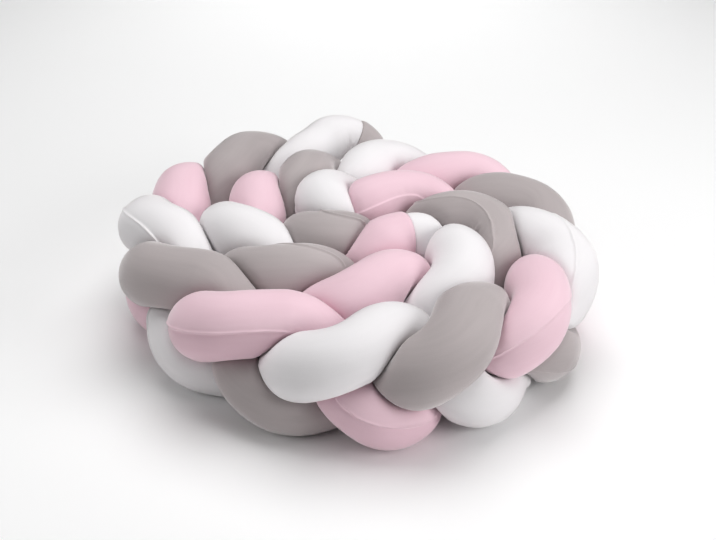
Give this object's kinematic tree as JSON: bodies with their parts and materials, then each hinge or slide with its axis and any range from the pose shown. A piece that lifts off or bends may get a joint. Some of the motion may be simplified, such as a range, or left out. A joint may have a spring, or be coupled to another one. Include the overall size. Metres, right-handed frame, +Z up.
{
  "type": "braided crib bumper",
  "caption": "Braided crib bumper of stuffed velvet tubes in white, grey and pink, standing on its edge and laid in a loose spiral.",
  "frame": {"origin": "centre of the bounding box at floor level", "axes": "+Z up, +X to the right in the picture, +Y away from the camera towards the braid's outer end"},
  "size_m": [0.5114, 0.559, 0.154],
  "materials": {
    "velvet_white": "soft short-pile velvet, matt with light rims",
    "velvet_grey": "soft short-pile velvet, matt with light rims",
    "velvet_pink": "soft short-pile velvet, matt with light rims"
  },
  "bodies": {
    "root": {"tube_white": "velvet_white", "tube_grey": "velvet_grey", "tube_pink": "velvet_pink"}
  },
  "joints": []
}
